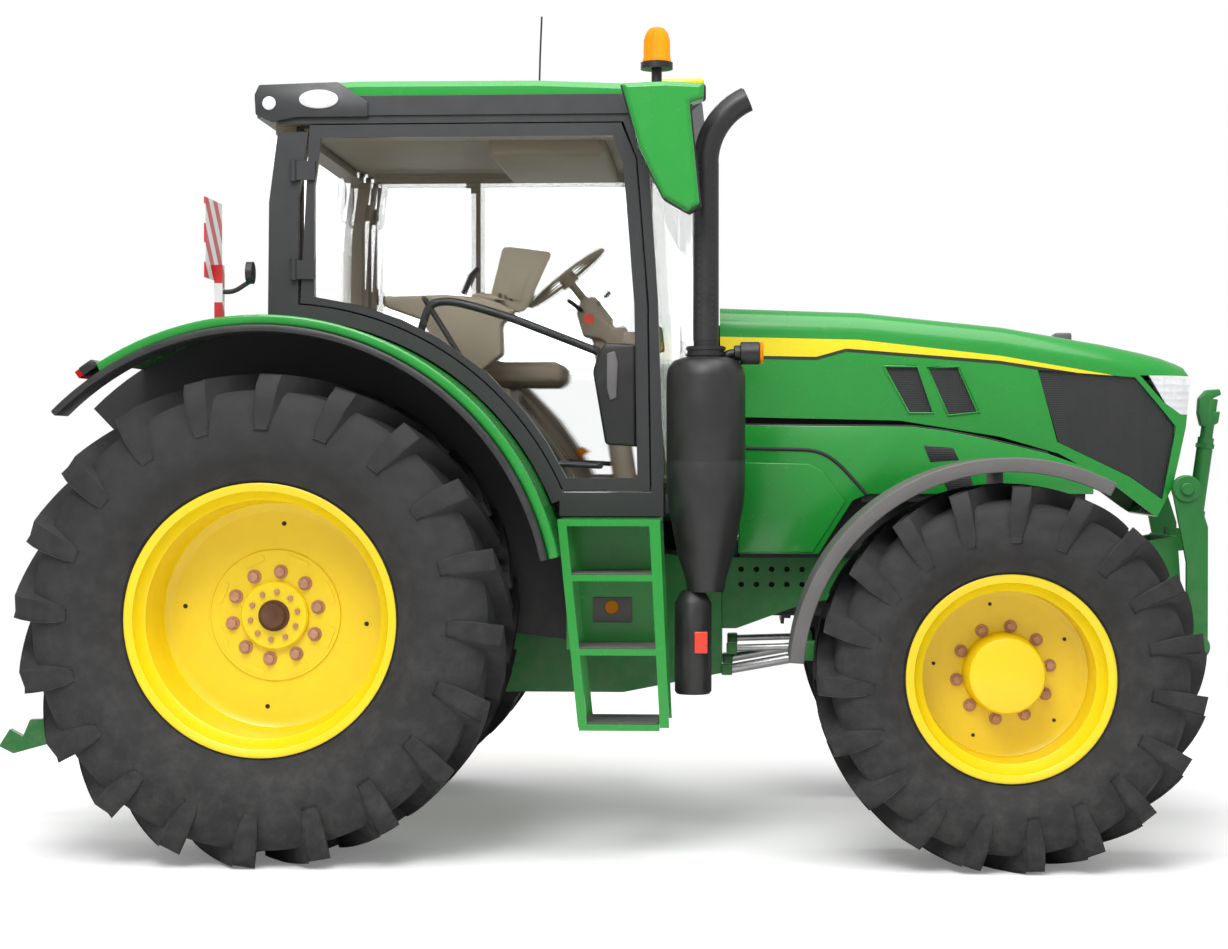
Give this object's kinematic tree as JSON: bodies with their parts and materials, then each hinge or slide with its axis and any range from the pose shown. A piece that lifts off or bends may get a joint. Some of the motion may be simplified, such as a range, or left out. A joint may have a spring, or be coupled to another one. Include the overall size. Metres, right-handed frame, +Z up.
{
  "type": "farm tractor",
  "caption": "Four-wheel-drive farm tractor with a closed cab, opening hood and doors, steered front wheels, front linkage and rear three-point lift",
  "frame": {"origin": "Middle of the tractor's overall box, on the ground under it", "axes": "+X is forward, towards the front linkage; +Y is the tractor's left; +Z is up"},
  "size_m": [5.0158, 2.55, 3.369],
  "materials": {
    "green_paint": "gloss",
    "rim_yellow": "gloss",
    "tyre_rubber": "matte",
    "black_plastic": "satin",
    "dark_paint": "satin",
    "bare_steel": "satin",
    "cast_grey": "painted green",
    "glass": "clear",
    "beige_plastic": "grained",
    "seat_cloth": "woven",
    "amber_lens": "clear amber",
    "red_lens": "clear red",
    "receiver_yellow": "gloss",
    "board_white": "striped red and white"
  },
  "bodies": {
    "root": {"beacon": "dark_paint", "beacon_dome": "amber_lens", "cab_frame": "dark_paint", "cab_windows": "glass", "console": "beige_plastic", "cowl": "black_plastic", "drawbar": "green_paint", "engine_block": "cast_grey", "exhaust": "dark_paint", "fender_lips": "dark_paint", "front_axle": "cast_grey", "front_carrier": "green_paint", "front_frame": "cast_grey", "fuel_tank": "black_plastic", "marker_lamps": "amber_lens", "mirrors": "green_paint", "pto_stub": "bare_steel", "rear_brackets": "green_paint", "rear_fenders": "green_paint", "roof_aerials": "receiver_yellow", "roof_base": "dark_paint", "roof_cap": "green_paint", "seat_base": "beige_plastic", "seat_pads": "seat_cloth", "side_panels": "green_paint", "steering_column": "beige_plastic", "steps": "green_paint", "tail_lamps": "red_lens", "transmission": "cast_grey", "warning_boards": "board_white"},
    "rear_wheel_left": {"rear_tyre_left": "tyre_rubber", "rear_rim_left": "rim_yellow"},
    "rear_wheel_right": {"rear_tyre_right": "tyre_rubber", "rear_rim_right": "rim_yellow"},
    "front_wheel_left": {"front_tyre_left": "tyre_rubber", "front_rim_left": "rim_yellow"},
    "front_wheel_right": {"front_tyre_right": "tyre_rubber", "front_rim_right": "rim_yellow"},
    "steer_left_body": {"knuckle_left": "cast_grey", "front_fender_left": "dark_paint"},
    "steer_right_body": {"knuckle_right": "cast_grey", "front_fender_right": "dark_paint"},
    "door_left_body": {"door_left": "dark_paint", "door_glass_left": "glass"},
    "door_right_body": {"door_right": "dark_paint", "door_glass_right": "glass"},
    "hood_body": {"hood": "green_paint", "hood_screens": "dark_paint", "headlights": "bare_steel"},
    "steering_wheel_body": {"steering_wheel": "black_plastic"},
    "rear_links_body": {"lower_links": "green_paint"},
    "lift_arms_body": {"lift_arms": "green_paint"},
    "lift_rods_body": {"lift_rods": "green_paint"},
    "top_link_body": {"top_link": "green_paint"},
    "front_rocker_body": {"front_rocker": "green_paint"},
    "front_links_body": {"front_links": "green_paint"},
    "front_top_link_body": {"front_top_link": "green_paint"}
  },
  "joints": [
    {"name": "rear_roll_left", "type": "hinge", "parent": "root", "child": "rear_wheel_left", "pos_m": [-1.238, 0.93, 0.915], "axis": [0, 1, 0], "continuous": true},
    {"name": "rear_roll_right", "type": "hinge", "parent": "root", "child": "rear_wheel_right", "pos_m": [-1.238, -0.93, 0.915], "axis": [0, 1, 0], "continuous": true},
    {"name": "steer_left", "type": "hinge", "parent": "root", "child": "steer_left_body", "pos_m": [1.527, 0.7, 0.709], "axis": [0, 0, 1], "range_deg": [-35, 35]},
    {"name": "steer_right", "type": "hinge", "parent": "root", "child": "steer_right_body", "pos_m": [1.527, -0.7, 0.709], "axis": [0, 0, 1], "range_deg": [-35, 35]},
    {"name": "steering_wheel_turn", "type": "hinge", "parent": "root", "child": "steering_wheel_body", "pos_m": [-0.188, 0, 2.27], "axis": [-0.6157, 0, 0.788], "range_deg": [-320, 320]},
    {"name": "front_roll_left", "type": "hinge", "parent": "steer_left_body", "child": "front_wheel_left", "pos_m": [1.527, 0.936, 0.709], "axis": [0, 1, 0], "continuous": true},
    {"name": "front_roll_right", "type": "hinge", "parent": "steer_right_body", "child": "front_wheel_right", "pos_m": [1.527, -0.936, 0.709], "axis": [0, 1, 0], "continuous": true},
    {"name": "door_left_swing", "type": "hinge", "parent": "root", "child": "door_left_body", "pos_m": [-1.176, 0.8633, 2], "axis": [0, 0, 1], "range_deg": [0, 75]},
    {"name": "door_right_swing", "type": "hinge", "parent": "root", "child": "door_right_body", "pos_m": [-1.176, -0.8633, 2], "axis": [0, 0, -1], "range_deg": [0, 75]},
    {"name": "hood_lift", "type": "hinge", "parent": "root", "child": "hood_body", "pos_m": [0.482, 0, 2.04], "axis": [0, -1, 0], "range_deg": [0, 45]},
    {"name": "rear_lift", "type": "hinge", "parent": "root", "child": "rear_links_body", "pos_m": [-1.378, 0, 0.56], "axis": [0, 1, 0], "range_deg": [-6, 26]},
    {"name": "lift_arm_turn", "type": "hinge", "parent": "root", "child": "lift_arms_body", "pos_m": [-1.448, 0, 1.15], "axis": [0, 1, 0], "range_deg": [-12, 36]},
    {"name": "lift_rod_swing", "type": "hinge", "parent": "lift_arms_body", "child": "lift_rods_body", "pos_m": [-1.798, 0, 1.01], "axis": [0, 1, 0], "range_deg": [-45, 12]},
    {"name": "top_link_swing", "type": "hinge", "parent": "root", "child": "top_link_body", "pos_m": [-1.638, 0, 1.01], "axis": [0, -1, 0], "range_deg": [0, 75]},
    {"name": "front_lift", "type": "hinge", "parent": "root", "child": "front_rocker_body", "pos_m": [2.242, 0, 0.69], "axis": [0, -1, 0], "range_deg": [-35, 0]},
    {"name": "front_link_fold", "type": "hinge", "parent": "front_rocker_body", "child": "front_links_body", "pos_m": [2.358, 0, 0.76], "axis": [0, 1, 0], "range_deg": [0, 95]},
    {"name": "front_top_link_swing", "type": "hinge", "parent": "root", "child": "front_top_link_body", "pos_m": [2.402, 0, 1.18], "axis": [0, 1, 0], "range_deg": [0, 80]}
  ],
  "couplings": [
    {"joint": "steer_right", "follows": "steer_left", "ratio": 1},
    {"joint": "steering_wheel_turn", "follows": "steer_left", "ratio": 9},
    {"joint": "lift_arm_turn", "follows": "rear_lift", "ratio": 1.22},
    {"joint": "lift_rod_swing", "follows": "rear_lift", "ratio": -1.47}
  ]
}
